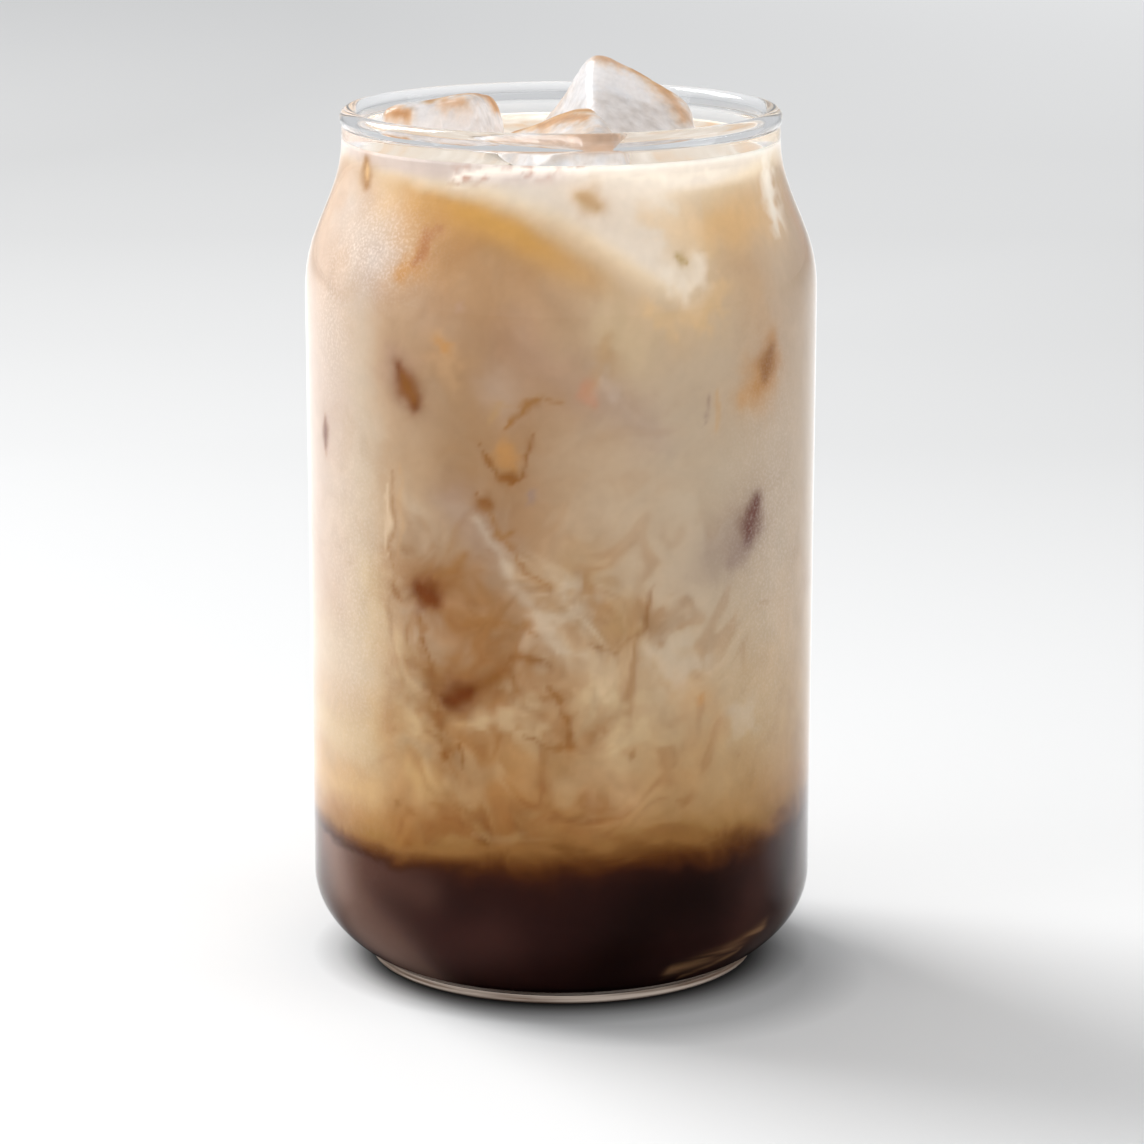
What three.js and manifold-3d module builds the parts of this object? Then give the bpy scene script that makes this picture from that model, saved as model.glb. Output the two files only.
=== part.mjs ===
// A glass of iced coffee horchata, in millimetres, +Z up.
// The origin is the middle of the glass's foot, on the surface it stands on, and the front faces -Y.

import * as THREE from 'three';
import { mergeVertices } from 'three/addons/utils/BufferGeometryUtils.js';
import Module from 'manifold-3d';

const wasm = await Module();
wasm.setup();

const { clamp, degToRad, lerp, smootherstep } = THREE.MathUtils;

// Driving dimensions of the glass
const GLASS_HEIGHT = 133.4;
const SHOULDER_RADIUS = 39.2;
const HEEL_RADIUS = 38.9;
const NECK_RADIUS = 33.4;
const FOOT_RADIUS = 29.9;
const WALL = 2.2;
const GLASS_FLOOR = 4.2;
const HEEL_HEIGHT = 14.2;
const SHOULDER_LOW = 104.8;
const SHOULDER_HIGH = 130.5;
const BEAD_RADIUS = 1.45;
const BEAD_PROUD = 0.3;
const BEAD_SWEEP = [-50, 230];
const NECK_TOP = GLASS_HEIGHT - 2 * BEAD_RADIUS;
const BEAD_INNER_DROP = 0.4;
const FOOT_RING_WIDTH = 4.5;
const PUNT_DEPTH = 1.0;
const PUNT_SHOULDER = 6;

// The foot's upright edge, then the heel: where its curve starts outside and inside, beside the flat
// foot or floor, and how far it runs on straight at either end
const FOOT_EDGE_TOP = new THREE.Vector2(0.3, 1.6);
const INNER_HEEL_START = new THREE.Vector2(0.5, 0.5);
const HEEL_SLOPE_RUN = new THREE.Vector2(3.3, 2.1);
const HEEL_WALL_RUN = 6.7;
const INNER_HEEL_LIFT = 0.3;
const INNER_HEEL_EASE = 0.8;
const FLOOR_CORNER = 4;

// Driving dimensions of the drink
const DRINK_LEVEL = 128;
const COFFEE_LEVEL = 24.4;
const MENISCUS_RISE = 0.6;
const MENISCUS_WIDTH = 2.2;
const FIT_GAP = 0.3;
const LAYER_GAP = 0.35;
const SWELL_ACROSS = { height: 0.55, length: 9.5, shift: 0.6 };
const SWELL_ALONG = { height: 0.4, length: 8, shift: -0.5 };
const LAYER_TILT = 0.012;
const BOUNDARY_SHARES = [0, 0.3, 0.55, 0.8, 1];

// Fineness
const TURN_STEPS = 56;
const SHOULDER_STEPS = 9;
const HEEL_STEPS = 7;
const BEAD_STEPS = 10;
const ICE_STEPS = 6;

// Ice: centre, full sizes, and turns in degrees about X, then Y, then Z
const ICE_PIECES = [
  { name: 'ice_back_right', centre: [7.4, 11.8, 123.6], size: [20, 21, 23], turn: [31, 26, 15], seed: 3 },
  { name: 'ice_left', centre: [-16.6, 2.8, 123.0], size: [15.5, 20, 22.5], turn: [-8, -13, -10], seed: 7 },
  { name: 'ice_front', centre: [0.6, -20.4, 121.6], size: [22, 20, 22], turn: [14, -24, 4], seed: 12 },
];
const ICE_ROUNDNESS = 7;
const ICE_RELIEF = 0.028;

const GLASS_LOOK = { color: 0xe9eef0, roughness: 0.04, metalness: 0, transparent: true, opacity: 0.35 };
const HORCHATA_LOOK = { color: 0xc9a987, roughness: 0.35, metalness: 0 };
const COFFEE_LOOK = { color: 0x2e1913, roughness: 0.25, metalness: 0 };
const ICE_LOOK = { color: 0xeef2f4, roughness: 0.12, metalness: 0, transparent: true, opacity: 0.45 };

// Outer radius of the glass between its heel and its bead.
function outerRadius(z) {
  const climb = clamp((z - HEEL_HEIGHT) / (SHOULDER_LOW - HEEL_HEIGHT), 0, 1);
  const body = lerp(HEEL_RADIUS, SHOULDER_RADIUS, climb);
  return lerp(body, NECK_RADIUS, smootherstep(z, SHOULDER_LOW, SHOULDER_HIGH));
}

// Points up the heel of a shell that lies inset from the outer face and stands on a given floor.
function heelPoints(inset, floor) {
  const start = inset > 0 ? INNER_HEEL_START : FOOT_EDGE_TOP;
  const foot = new THREE.Vector2(FOOT_RADIUS - inset, floor).add(start);
  const footHandle = foot.clone().add(HEEL_SLOPE_RUN);
  const wall = new THREE.Vector2(HEEL_RADIUS - inset, HEEL_HEIGHT + INNER_HEEL_LIFT * inset);
  const wallHandle = new THREE.Vector2(wall.x, wall.y - HEEL_WALL_RUN + INNER_HEEL_EASE * inset);
  return new THREE.CubicBezierCurve(foot, footHandle, wallHandle, wall).getPoints(HEEL_STEPS);
}

// Profile points up the wall between two heights, closer together round the shoulder.
function wallPoints(inset, low, high) {
  const heights = [low];
  for (let step = 0; step <= SHOULDER_STEPS; step += 1) {
    const z = lerp(SHOULDER_LOW, SHOULDER_HIGH, step / SHOULDER_STEPS);
    if (z > low + 1 && z < high - 1) {
      heights.push(z);
    }
  }
  heights.push(high);
  return heights.map((z) => new THREE.Vector2(outerRadius(z) - inset, z));
}

// A closed body from a profile of radius and height that starts and ends on the axis.
function turned(points) {
  const geometry = new THREE.LatheGeometry(points, TURN_STEPS);
  geometry.rotateX(Math.PI / 2);
  return geometry;
}

// A solid for joining and cutting, from any closed geometry.
function toSolid(geometry) {
  const bare = geometry.clone();
  bare.deleteAttribute('normal');
  bare.deleteAttribute('uv');
  const merged = mergeVertices(bare, 1e-4);
  const corners = merged.index.array;
  const kept = [];
  for (let i = 0; i < corners.length; i += 3) {
    const [a, b, c] = [corners[i], corners[i + 1], corners[i + 2]];
    if (a !== b && b !== c && c !== a) {
      kept.push(a, b, c);
    }
  }
  const mesh = new wasm.Mesh({
    numProp: 3,
    vertProperties: new Float32Array(merged.attributes.position.array),
    triVerts: new Uint32Array(kept),
  });
  return new wasm.Manifold(mesh);
}

function toGeometry(solid) {
  const mesh = solid.getMesh();
  const geometry = new THREE.BufferGeometry();
  geometry.setAttribute('position', new THREE.BufferAttribute(new Float32Array(mesh.vertProperties), 3));
  geometry.setIndex(new THREE.BufferAttribute(new Uint32Array(mesh.triVerts), 1));
  geometry.computeVertexNormals();
  return geometry;
}

// The rolled bead round the mouth, from its underside outside to its underside inside.
function beadPoints() {
  const centre = new THREE.Vector2(NECK_RADIUS + BEAD_PROUD - BEAD_RADIUS, GLASS_HEIGHT - BEAD_RADIUS);
  const [start, end] = BEAD_SWEEP.map(degToRad);
  const points = [];
  for (let step = 0; step <= BEAD_STEPS; step += 1) {
    const angle = lerp(start, end, step / BEAD_STEPS);
    const reach = new THREE.Vector2(Math.cos(angle), Math.sin(angle)).multiplyScalar(BEAD_RADIUS);
    points.push(reach.add(centre));
  }
  return points;
}

// The glass: punt, foot ring, heel, wall, shoulder, rolled bead, and back down the inside.
function glassSolid() {
  const puntRadius = FOOT_RADIUS - FOOT_RING_WIDTH;
  const innerHeelTop = HEEL_HEIGHT + INNER_HEEL_LIFT * WALL;
  const points = [
    new THREE.Vector2(0, PUNT_DEPTH),
    new THREE.Vector2(puntRadius - PUNT_SHOULDER, PUNT_DEPTH),
    new THREE.Vector2(puntRadius, 0),
    new THREE.Vector2(FOOT_RADIUS, 0),
    ...heelPoints(0, 0),
    ...wallPoints(0, HEEL_HEIGHT, NECK_TOP).slice(1),
    ...beadPoints(),
    ...wallPoints(WALL, innerHeelTop, NECK_TOP - BEAD_INNER_DROP).slice(1).reverse(),
    ...heelPoints(WALL, GLASS_FLOOR).reverse(),
    new THREE.Vector2(FOOT_RADIUS - FLOOR_CORNER, GLASS_FLOOR),
    new THREE.Vector2(0, GLASS_FLOOR),
  ];
  return toSolid(turned(points));
}

// The height of the soft boundary where the horchata lies on the coffee.
function layerHeight(x, y) {
  const across = SWELL_ACROSS.height * Math.sin(x / SWELL_ACROSS.length + SWELL_ACROSS.shift);
  const along = SWELL_ALONG.height * Math.cos(y / SWELL_ALONG.length + SWELL_ALONG.shift);
  return COFFEE_LEVEL + across + along + LAYER_TILT * x;
}

// Moves every corner near the layer boundary on to its waves.
function waveBoundary(geometry, offset) {
  const corners = geometry.attributes.position;
  for (let i = 0; i < corners.count; i += 1) {
    if (Math.abs(corners.getZ(i) - COFFEE_LEVEL) < 0.01) {
      corners.setZ(i, layerHeight(corners.getX(i), corners.getY(i)) + offset);
    }
  }
  return geometry;
}

// Points across the boundary from the axis to the wall, all at its mean height.
function boundaryPoints() {
  const rimRadius = outerRadius(COFFEE_LEVEL) - WALL - FIT_GAP;
  return BOUNDARY_SHARES.map((share) => new THREE.Vector2(share * rimRadius, COFFEE_LEVEL));
}

function coffeeSolid() {
  const inset = WALL + FIT_GAP;
  const bottom = GLASS_FLOOR + FIT_GAP;
  const profile = [
    new THREE.Vector2(0, bottom),
    new THREE.Vector2(FOOT_RADIUS - FLOOR_CORNER - FIT_GAP, bottom),
    ...heelPoints(inset, bottom),
    ...boundaryPoints().reverse(),
  ];
  return toSolid(waveBoundary(turned(profile), 0));
}

function horchataSolid() {
  const inset = WALL + FIT_GAP;
  const top = DRINK_LEVEL + MENISCUS_RISE;
  const topRadius = outerRadius(top) - inset;
  const walls = wallPoints(inset, COFFEE_LEVEL, top).slice(1);
  const profile = [
    ...boundaryPoints(),
    ...walls,
    new THREE.Vector2(topRadius - MENISCUS_WIDTH / 3, DRINK_LEVEL + MENISCUS_RISE / 3),
    new THREE.Vector2(topRadius - MENISCUS_WIDTH, DRINK_LEVEL),
    new THREE.Vector2(0, DRINK_LEVEL),
  ];
  return toSolid(waveBoundary(turned(profile), LAYER_GAP));
}

// The room for ice inside the glass and above its mouth, with a margin kept to the wall.
function boreSolid(margin) {
  const inset = WALL + margin;
  const neckTop = NECK_TOP - BEAD_INNER_DROP;
  const mouthRadius = NECK_RADIUS + BEAD_PROUD - 2 * BEAD_RADIUS - margin;
  const profile = [
    new THREE.Vector2(0, HEEL_HEIGHT),
    ...wallPoints(inset, HEEL_HEIGHT, neckTop),
    new THREE.Vector2(mouthRadius, neckTop + BEAD_RADIUS),
    new THREE.Vector2(mouthRadius, 2 * GLASS_HEIGHT),
    new THREE.Vector2(0, 2 * GLASS_HEIGHT),
  ];
  return toSolid(turned(profile));
}

// How far the melted surface of an ice cube stands out at a point of its rounded unit box, from -2 to 2.
function iceRelief(point, seed) {
  const fine = Math.sin(2.3 * point.x + seed) * Math.cos(2.7 * point.y - seed);
  const coarse = Math.sin(3.1 * point.z + 1.7 * seed + point.x);
  return fine + coarse;
}

// A half-melted ice cube: a rounded box with a shallow seeded relief.
function iceSolid(piece, growth) {
  const geometry = new THREE.BoxGeometry(2, 2, 2, ICE_STEPS, ICE_STEPS, ICE_STEPS);
  const corners = geometry.attributes.position;
  const half = new THREE.Vector3(...piece.size).multiplyScalar(0.5);
  const point = new THREE.Vector3();
  for (let i = 0; i < corners.count; i += 1) {
    point.fromBufferAttribute(corners, i);
    const reach = point.toArray().reduce((sum, part) => sum + Math.abs(part) ** ICE_ROUNDNESS, 0);
    point.multiplyScalar(reach ** (-1 / ICE_ROUNDNESS));
    point.multiplyScalar(1 + ICE_RELIEF * iceRelief(point, piece.seed));
    point.multiply(half);
    point.addScaledVector(point.clone().normalize(), growth);
    corners.setXYZ(i, point.x, point.y, point.z);
  }
  const turn = new THREE.Euler(...piece.turn.map(degToRad), 'ZYX');
  geometry.applyMatrix4(new THREE.Matrix4().makeRotationFromEuler(turn));
  geometry.translate(...piece.centre);
  return toSolid(geometry);
}

function addMesh(group, name, solid, look) {
  const mesh = new THREE.Mesh(toGeometry(solid), new THREE.MeshStandardMaterial(look));
  mesh.name = name;
  group.add(mesh);
}

const drink = new THREE.Group();
addMesh(drink, 'glass', glassSolid(), GLASS_LOOK);
addMesh(drink, 'coffee_layer', coffeeSolid(), COFFEE_LOOK);

const bore = boreSolid(FIT_GAP);
let horchata = horchataSolid();
for (const piece of ICE_PIECES) {
  horchata = horchata.subtract(iceSolid(piece, FIT_GAP));
  addMesh(drink, piece.name, iceSolid(piece, 0).intersect(bore), ICE_LOOK);
}
addMesh(drink, 'horchata', horchata, HORCHATA_LOOK);

export default drink;
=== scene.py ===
"""The look of a glass of iced coffee horchata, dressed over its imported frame.

Sizes are in millimetres until a mesh is made, and meshes are in metres. The front faces -Y.
An angle round the glass is in degrees, 0 at the front and growing towards +X.
"""

import math

import bpy
import numpy as np
from mathutils import Euler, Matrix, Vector


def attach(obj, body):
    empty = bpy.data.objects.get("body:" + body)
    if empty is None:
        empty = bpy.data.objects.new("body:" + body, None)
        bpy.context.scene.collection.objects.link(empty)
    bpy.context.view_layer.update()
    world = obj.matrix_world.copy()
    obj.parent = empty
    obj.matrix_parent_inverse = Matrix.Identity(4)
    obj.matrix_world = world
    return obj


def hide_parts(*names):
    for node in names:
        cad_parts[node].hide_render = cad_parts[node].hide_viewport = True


MM = 0.001

# Glass, as in the part's source
GLASS_HEIGHT = 133.4
SHOULDER_RADIUS = 39.2
HEEL_RADIUS = 38.9
NECK_RADIUS = 33.4
FOOT_RADIUS = 29.9
WALL = 2.2
GLASS_FLOOR = 4.2
HEEL_HEIGHT = 14.2
SHOULDER_LOW = 104.8
SHOULDER_HIGH = 130.5
BEAD_RADIUS = 1.45
BEAD_PROUD = 0.3
BEAD_SWEEP = (-50, 230)
NECK_TOP = GLASS_HEIGHT - 2 * BEAD_RADIUS
BEAD_INNER_DROP = 0.4
FOOT_RING_WIDTH = 4.5
PUNT_DEPTH = 1
PUNT_SHOULDER = 6
FOOT_EDGE_TOP = (0.3, 1.6)
INNER_HEEL_START = (0.5, 0.5)
HEEL_SLOPE_RUN = (3.3, 2.1)
HEEL_WALL_RUN = 6.7
INNER_HEEL_LIFT = 0.3
INNER_HEEL_EASE = 0.8
FLOOR_CORNER = 4
FOOT_ROUNDING = 0.8

# Drink, as in the part's source, but reaching just into the glass so that no air gap shows
DRINK_LEVEL = 128
COFFEE_LEVEL = 24.4
MENISCUS_RISE = 0.6
SWELL_ACROSS = (0.55, 9.5, 0.6)
SWELL_ALONG = (0.4, 8, -0.5)
LAYER_TILT = 0.012
REACH = 0.12
LAYER_OVERLAP = 0.4
LAYER_TUCK = 0.01
SEAM_SHARE = 0.0004
COFFEE_SEAM_SHARE = 0.004
TUCKED_SHARE = 0.01
MENISCUS_FADE = 0.7

# Ice, as in the part's source: name, centre, full sizes, turns about X, then Y, then Z, and seed
ICE_PIECES = [
    ("ice_back_right", (7.4, 11.8, 123.6), (20, 21, 23), (31, 26, 15), 3),
    ("ice_left", (-16.6, 2.8, 123), (15.5, 20, 22.5), (-8, -13, -10), 7),
    ("ice_front", (0.6, -20.4, 121.6), (22, 20, 22), (14, -24, 4), 12),
]
ICE_ROUNDNESS = 7
ICE_RELIEF = 0.028
ICE_STEPS = 36
ICE_TIGHTNESS = 0.1

# Camera, in millimetres and degrees
CAMERA_PLACE = (1.67, -680, 217.26)
CAMERA_TILT = 12.96
CAMERA_VIEW = 14.54

# How finely the glass and the drink are divided
GLASS_COLUMNS = 192
GLASS_ROWS = 60
GLASS_HEEL_STEPS = 26
BEAD_STEPS = 28
FRONT_COLUMNS = 236
BACK_COLUMNS = 120
WALL_ROWS = 200
COFFEE_ROWS = 60
COFFEE_HEEL_STEPS = 30
BOUNDARY_STEPS = 14
# Rings of the open surface by their distance from the wall, and of the flat bottom by their radius
OPEN_RINGS = [0.15, 0.32, 0.52, 0.8, 1.2, 1.8, 2.8, 4.5, 7, 10, 14, 18, 22, 26, 29.5]
BOTTOM_RINGS = [0, 6, 12, 18]


# Shared small tools


def ease(t):
    return t * t * t * (t * (6 * t - 15) + 10)


def smooth_step(values, start, full):
    """0 up to start and 1 from full on, with start and full in either order."""
    t = np.clip((values - start) / (full - start), 0, 1)
    return t * t * (3 - 2 * t)


def at_least(least, share):
    return least + (1 - least) * share


def bell(distance, width):
    return np.exp(-((distance / width) ** 2))


def curve(values, stops):
    """The value between named stops, each a place and a value."""
    return np.interp(values, *zip(*stops))


def linear(red, green, blue):
    """A colour given as 0 to 255, as screens show it, in the linear form that shaders use."""
    shown = np.array([red, green, blue]) / 255
    return np.where(shown <= 0.04045, shown / 12.92, ((shown + 0.055) / 1.055) ** 2.4)


def link(obj):
    bpy.context.scene.collection.objects.link(obj)
    return obj


def mesh_object(name, points, faces):
    mesh = bpy.data.meshes.new(name)
    mesh.from_pydata((np.asarray(points) * MM).tolist(), [], faces)
    mesh.validate()
    mesh.polygons.foreach_set("use_smooth", [True] * len(mesh.polygons))
    return link(bpy.data.objects.new(name, mesh))


def object_points(obj):
    """A mesh's points in millimetres."""
    points = np.zeros(len(obj.data.vertices) * 3)
    obj.data.vertices.foreach_get("co", points)
    return points.reshape(-1, 3) / MM


def set_colours(obj, colours):
    layer = obj.data.color_attributes.new("swirl", "FLOAT_COLOR", "POINT")
    layer.data.foreach_set("color", np.column_stack([colours, np.ones(len(colours))]).ravel())


# Seeded noise for meshes and colours


NOISE_SIZE = 32
LAYER_SHIFT = 7.3


class Noise:
    """Smooth random values from 0 to 1 over space. What is added to a place picks another part."""

    def __init__(self, seed):
        self.table = np.random.default_rng(seed).random((NOISE_SIZE,) * 3)

    def plain(self, points):
        cell = np.floor(points).astype(int)
        part = ease(points - cell)
        total = np.zeros(len(points))
        for corner in range(8):
            step = np.array([corner & 1, corner >> 1 & 1, corner >> 2 & 1])
            share = np.prod(np.where(step, part, 1 - part), axis=1)
            x, y, z = ((cell + step) % NOISE_SIZE).T
            total += share * self.table[x, y, z]
        return total

    def layered(self, points, layers=4, fade=0.5):
        total = np.zeros(len(points))
        weight, whole = 1, 0.0
        for layer in range(layers):
            total += weight * self.plain(points * 2**layer + LAYER_SHIFT * layer)
            whole += weight
            weight *= fade
        return total / whole


# The glass's profile


def outer_radius(z):
    climb = np.clip((z - HEEL_HEIGHT) / (SHOULDER_LOW - HEEL_HEIGHT), 0, 1)
    body = HEEL_RADIUS + (SHOULDER_RADIUS - HEEL_RADIUS) * climb
    shoulder = np.clip((z - SHOULDER_LOW) / (SHOULDER_HIGH - SHOULDER_LOW), 0, 1)
    return body + (NECK_RADIUS - body) * ease(shoulder)


def heel_points(inset, floor, steps):
    start = INNER_HEEL_START if inset > 0 else FOOT_EDGE_TOP
    foot = np.array([FOOT_RADIUS - inset + start[0], floor + start[1]])
    foot_handle = foot + HEEL_SLOPE_RUN
    wall = np.array([HEEL_RADIUS - inset, HEEL_HEIGHT + INNER_HEEL_LIFT * inset])
    wall_handle = wall - [0, HEEL_WALL_RUN - INNER_HEEL_EASE * inset]
    points = []
    for t in np.linspace(0, 1, steps + 1):
        near = (1 - t) ** 3 * foot + 3 * (1 - t) ** 2 * t * foot_handle
        points.append(near + 3 * (1 - t) * t**2 * wall_handle + t**3 * wall)
    return points


def wall_points(inset, low, high):
    return [np.array([outer_radius(z) - inset, z]) for z in np.linspace(low, high, GLASS_ROWS + 1)]


def bead_points():
    centre = np.array([NECK_RADIUS + BEAD_PROUD - BEAD_RADIUS, GLASS_HEIGHT - BEAD_RADIUS])
    angles = np.radians(np.linspace(*BEAD_SWEEP, BEAD_STEPS + 1))
    return [centre + BEAD_RADIUS * np.array([math.cos(a), math.sin(a)]) for a in angles]


def rounded(points, reach, steps=5):
    """The profile with each inner corner replaced by a short curve that starts and ends reach away."""
    points = np.array(points, float)
    kept = [points[0]]
    for before, corner, after in zip(points, points[1:], points[2:]):
        start = corner + (before - corner) * min(0.5, reach / np.linalg.norm(before - corner))
        end = corner + (after - corner) * min(0.5, reach / np.linalg.norm(after - corner))
        for t in np.linspace(0, 1, steps + 1):
            kept.append((1 - t) ** 2 * start + 2 * (1 - t) * t * corner + t**2 * end)
    kept.append(points[-1])
    return kept


def glass_profile():
    punt = FOOT_RADIUS - FOOT_RING_WIDTH
    heel = heel_points(0, 0, GLASS_HEEL_STEPS)
    foot = [(0, PUNT_DEPTH), (punt - PUNT_SHOULDER, PUNT_DEPTH), (punt, 0), (FOOT_RADIUS, 0), heel[0]]
    inner_top = HEEL_HEIGHT + INNER_HEEL_LIFT * WALL
    inner_heel = heel_points(WALL, GLASS_FLOOR, GLASS_HEEL_STEPS)
    inner_floor = [inner_heel[0], (FOOT_RADIUS - FLOOR_CORNER, GLASS_FLOOR), (0, GLASS_FLOOR)]
    return [
        *rounded(foot, FOOT_ROUNDING),
        *heel[1:],
        *wall_points(0, HEEL_HEIGHT, NECK_TOP)[1:],
        *bead_points(),
        *wall_points(WALL, inner_top, NECK_TOP - BEAD_INNER_DROP)[1:][::-1],
        *inner_heel[1:][::-1],
        *rounded(inner_floor, FOOT_ROUNDING),
    ]


def turned(name, columns, rings):
    """A closed body of rings of points, one per row from axis to axis, with its poles on the axis."""
    count = len(columns)
    points = [rings[0][0]]
    for ring in rings[1:-1]:
        points.extend(ring)
    points.append(rings[-1][0])
    faces = []
    last = len(points) - 1
    for i in range(count):
        j = (i + 1) % count
        faces.append((0, 1 + j, 1 + i))
        faces.append((last, last - count + i, last - count + j))
        for row in range(len(rings) - 3):
            low = 1 + row * count
            faces.append((low + i, low + j, low + count + j, low + count + i))
    return mesh_object(name, points, faces)


def ring_of(columns, radius, height):
    """Points round the axis. The radius and the height are one value, or one for each column."""
    heights = np.broadcast_to(height, columns.shape)
    return np.column_stack([radius * np.sin(columns), -radius * np.cos(columns), heights])


# The glass's lowest band takes the foot's material: a painted glow, and painted contact shade at its bottom
FOOT_BAND = 1.65
FOOT_BAND_WIDTH = 1.5
RIM_LOW = 129.6
GLASS_WAVE = 0.025
GLASS_WAVE_LENGTH = 14
GLASS_BENDING = 1.5
GLASS_TINT = (0.985, 0.99, 0.99)
RIM_BENDING = 1.34
RIM_TINT = (0.925, 0.93, 0.94)


def make_glass():
    columns = np.linspace(-math.pi, math.pi, GLASS_COLUMNS, endpoint=False)
    unevenness = Noise(21)
    rings = []
    for radius, height in glass_profile():
        ring = ring_of(columns, radius, height)
        if radius > FOOT_RADIUS and HEEL_HEIGHT < height < NECK_TOP:
            sway = (unevenness.plain(ring / GLASS_WAVE_LENGTH + 40) - 1) * GLASS_WAVE
            ring = ring_of(columns, radius + sway, height)
        rings.append(ring)
    glass = turned("glass_body", columns, rings)
    clear = glass_material("clear_glass", GLASS_BENDING, GLASS_TINT)
    for material in [clear, painted_foot_glow_material(), glass_material("glass_rim", RIM_BENDING, RIM_TINT)]:
        glass.data.materials.append(material)
    for face in glass.data.polygons:
        middle = face.center / MM
        if middle.z < FOOT_BAND and math.hypot(middle.x, middle.y) > FOOT_RADIUS - FOOT_BAND_WIDTH:
            face.material_index = 1
        elif middle.z > RIM_LOW:
            face.material_index = 2
    return glass


# The drink's form


def layer_height(x, y):
    across = SWELL_ACROSS[0] * np.sin(x / SWELL_ACROSS[1] + SWELL_ACROSS[2])
    along = SWELL_ALONG[0] * np.cos(y / SWELL_ALONG[1] + SWELL_ALONG[2])
    return COFFEE_LEVEL + across + along + LAYER_TILT * x


def drink_columns():
    """Angles round the drink, closer together over the front half, where its swirls show."""
    front = np.linspace(-math.pi / 2, math.pi / 2, FRONT_COLUMNS, endpoint=False)
    back = np.linspace(math.pi / 2, 1.5 * math.pi, BACK_COLUMNS, endpoint=False)
    return np.concatenate([front, back])


def drink_radius(height):
    return outer_radius(height) - WALL + REACH


def boundary_rings(columns, offset, tuck):
    """Rings out from the axis over the waved boundary between the coffee and the horchata."""
    rings = []
    for share in np.linspace(0, 1, BOUNDARY_STEPS + 1)[:-1]:
        ring = ring_of(columns, share * (drink_radius(COFFEE_LEVEL) - tuck), 0)
        ring[:, 2] = layer_height(ring[:, 0], ring[:, 1]) + offset
        rings.append(ring)
    return rings


def wall_ring(columns, heights, tuck):
    return ring_of(columns, drink_radius(heights) - tuck, heights)


def edge_heights(columns):
    rim = drink_radius(COFFEE_LEVEL)
    return layer_height(rim * np.sin(columns), -rim * np.cos(columns))


def make_horchata():
    columns = drink_columns()
    low = edge_heights(columns) - LAYER_OVERLAP
    top = DRINK_LEVEL + MENISCUS_RISE
    rings = boundary_rings(columns, -LAYER_OVERLAP, LAYER_TUCK)
    for share in [0, SEAM_SHARE, *np.linspace(0, 1, WALL_ROWS + 1)[1:]]:
        tuck = LAYER_TUCK if share < TUCKED_SHARE else 0
        rings.append(wall_ring(columns, low + (top - low) * share, tuck))
    rim = drink_radius(top)
    for depth in [*OPEN_RINGS, rim]:
        height = DRINK_LEVEL + MENISCUS_RISE * math.exp(-depth / MENISCUS_FADE)
        rings.append(ring_of(columns, rim - depth, height))
    return turned("horchata_drink", columns, rings)


def make_coffee():
    columns = drink_columns()
    inset = WALL - REACH
    floor = GLASS_FLOOR - REACH
    bottom = [(radius, floor) for radius in [*BOTTOM_RINGS, FOOT_RADIUS - FLOOR_CORNER]]
    rings = []
    for radius, height in [*bottom, *heel_points(inset, floor, COFFEE_HEEL_STEPS)]:
        rings.append(ring_of(columns, radius, height))
    start = HEEL_HEIGHT + INNER_HEEL_LIFT * inset
    high = edge_heights(columns)
    for share in [*np.linspace(0, 1, COFFEE_ROWS + 1)[1:-1], 1 - COFFEE_SEAM_SHARE, 1]:
        rings.append(wall_ring(columns, start + (high - start) * share, 0))
    rings.extend(boundary_rings(columns, 0, 0)[::-1])
    return turned("coffee_drink", columns, rings)


# Ice


def box_grid(steps):
    """Points and faces of a box from -1 to 1, each side a grid."""
    numbers = {}
    faces = []
    for axis in range(3):
        for side in (0, steps):
            for i, j in np.ndindex(steps, steps):
                corners = []
                for place in [[i, j], [i + 1, j], [i + 1, j + 1], [i, j + 1]]:
                    place.insert(axis, side)
                    corners.append(numbers.setdefault(tuple(place), len(numbers)))
                outward = (side > 0) != (axis == 1)
                faces.append(corners if outward else corners[::-1])
    return np.linspace(-1, 1, steps + 1)[np.array(list(numbers))], faces


def ice_form(sizes, turn, seed, growth):
    """A half-melted cube round its own middle, by the same rule as in the part's source."""
    points, faces = box_grid(ICE_STEPS)
    reach = (np.abs(points) ** ICE_ROUNDNESS).sum(axis=1) ** (-1 / ICE_ROUNDNESS)
    points *= reach[:, None]
    x, y, z = points.T
    fine = np.sin(2.3 * x + seed) * np.cos(2.7 * y - seed)
    relief = fine + np.sin(3.1 * z + 1.7 * seed + x)
    points *= (1 + ICE_RELIEF * relief)[:, None]
    points *= np.array(sizes) / 2
    points += growth * points / np.linalg.norm(points, axis=1)[:, None]
    matrix = np.array(Euler(np.radians(turn), "XYZ").to_matrix())
    return points @ matrix.T, faces


ICE_DIMPLE = 0.55
ICE_DIMPLE_LENGTH = 3.4


def melted(points, centre, seed):
    """Shallow dimples of the melting surface."""
    away = points - centre
    away /= np.linalg.norm(away, axis=1)[:, None]
    dimples = Noise(seed).layered(points / ICE_DIMPLE_LENGTH + 20, 3)
    return points - away * (dimples * ICE_DIMPLE)[:, None]


ICE_FILM = 0.9
ICE_FILM_FADE = (0.8, -0.6)


def kept_in_bore(points):
    """Points outside the room in the glass are drawn in to its wall, or behind a film of drink."""
    x, y, z = points.T
    mouth = NECK_RADIUS + BEAD_PROUD - 2 * BEAD_RADIUS
    room = np.where(z < NECK_TOP - BEAD_INNER_DROP, outer_radius(z) - WALL, mouth)
    room -= ICE_FILM * smooth_step(z - DRINK_LEVEL, *ICE_FILM_FADE)
    points[:, :2] *= np.minimum(1, (room + ICE_TIGHTNESS / 2) / np.hypot(x, y))[:, None]
    return points
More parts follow.
